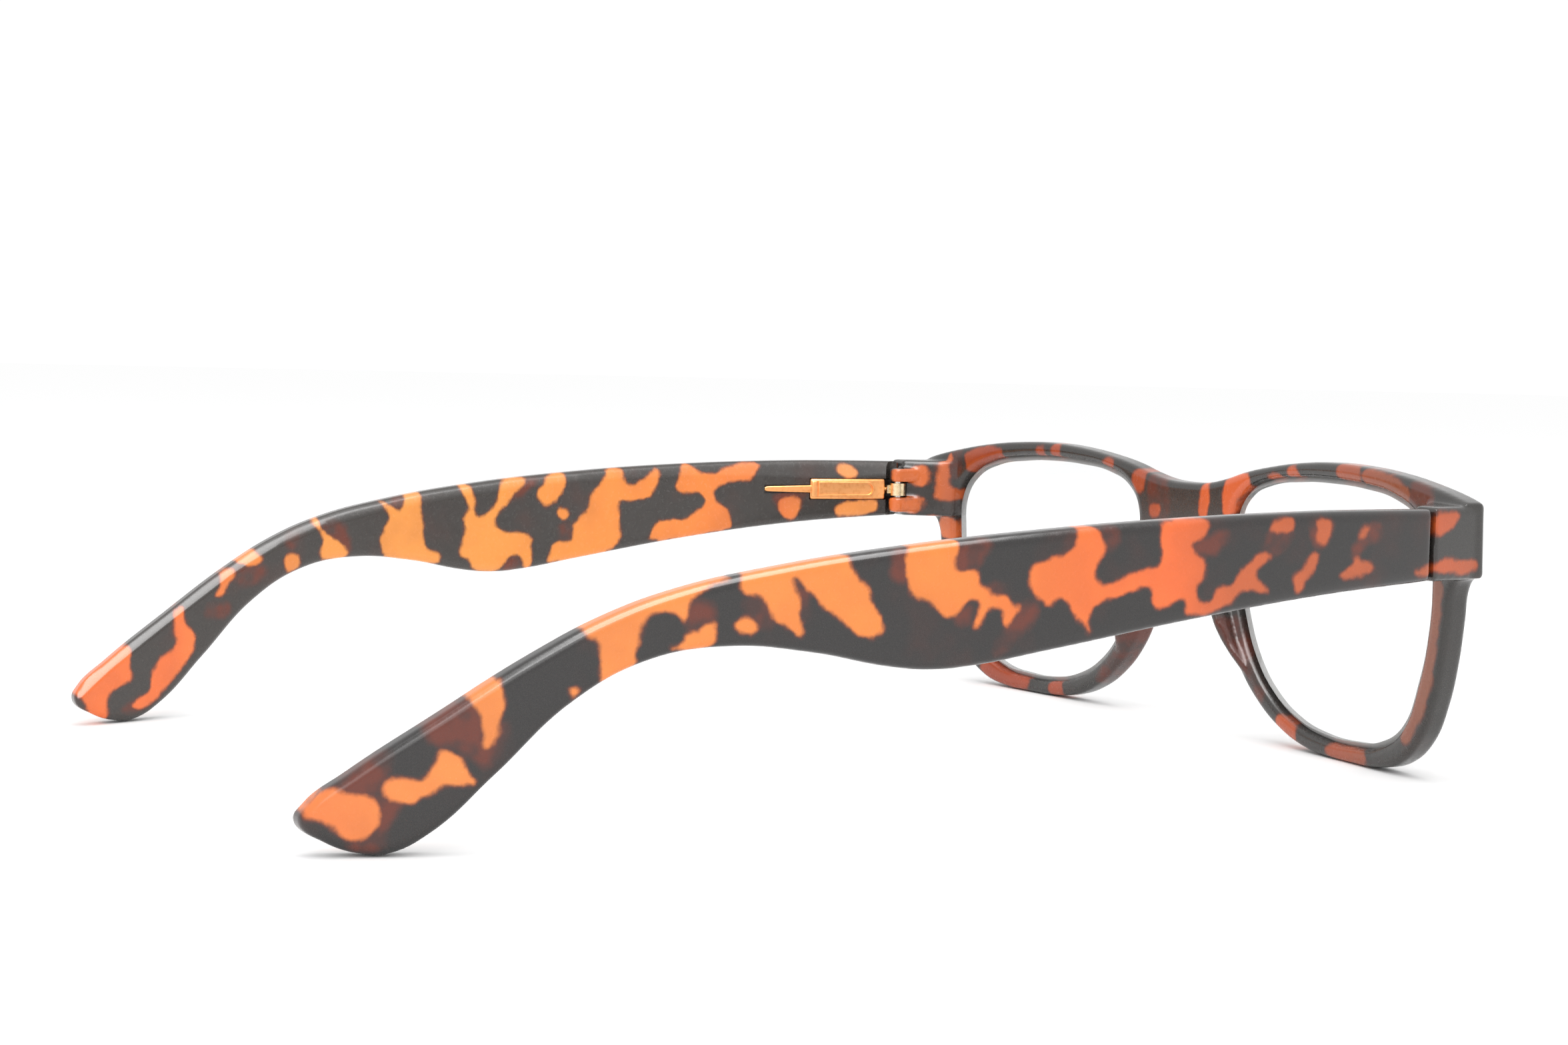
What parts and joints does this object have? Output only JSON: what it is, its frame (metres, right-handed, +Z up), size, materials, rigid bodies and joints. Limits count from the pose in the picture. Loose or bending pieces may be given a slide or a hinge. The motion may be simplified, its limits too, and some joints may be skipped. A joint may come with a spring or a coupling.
{
  "type": "folding reading glasses",
  "caption": "Folding reading glasses: a moulded mottled front with clear lenses, and two curved temples on sprung hinges that fold flat behind it.",
  "frame": {"origin": "middle of the open glasses' bounding box, on the surface they stand on", "axes": "+X to the wearer's left, +Y back along the temples from the front, +Z up"},
  "size_m": [0.141, 0.1614, 0.0421],
  "materials": {
    "front_frame": "tortoise mottled, satin gloss",
    "lens": "clear plastic, polished",
    "temple": "tortoise mottled, satin gloss",
    "spring_box": "gold coloured, satin",
    "hinge_eye": "pale gold, polished",
    "hinge_spring": "bright wire",
    "stop_nut": "plain",
    "hinge_screw": "plated"
  },
  "bodies": {
    "front": {"front_frame": "front_frame", "lens_left": "lens", "lens_right": "lens", "hinge_screw_left": "hinge_screw", "hinge_screw_right": "hinge_screw"},
    "hinge_eye_left": {"hinge_eye_left": "hinge_eye", "stop_nut_left": "stop_nut", "hinge_spring_left": "hinge_spring"},
    "temple_left": {"temple_left": "temple", "spring_box_left": "spring_box"},
    "hinge_eye_right": {"hinge_eye_right": "hinge_eye", "stop_nut_right": "stop_nut", "hinge_spring_right": "hinge_spring"},
    "temple_right": {"temple_right": "temple", "spring_box_right": "spring_box"}
  },
  "joints": [
    {"name": "fold_left", "type": "hinge", "parent": "front", "child": "hinge_eye_left", "pos_m": [0.0637, -0.0634, 0.0325], "axis": [0, 0, 1], "range_deg": [-4, 88]},
    {"name": "spring_slide_left", "type": "slide", "parent": "hinge_eye_left", "child": "temple_left", "axis": [0.0958, 0.9954, 0], "range_m": [0, 0.0012], "stiffness_N_per_m": 1500, "springref_m": -0.001, "deforming": ["hinge_spring_left"]},
    {"name": "fold_right", "type": "hinge", "parent": "front", "child": "hinge_eye_right", "pos_m": [-0.0637, -0.0634, 0.0325], "axis": [0, 0, -1], "range_deg": [-4, 78]},
    {"name": "spring_slide_right", "type": "slide", "parent": "hinge_eye_right", "child": "temple_right", "axis": [-0.0958, 0.9954, 0], "range_m": [0, 0.0012], "stiffness_N_per_m": 1500, "springref_m": -0.001, "deforming": ["hinge_spring_right"]}
  ]
}
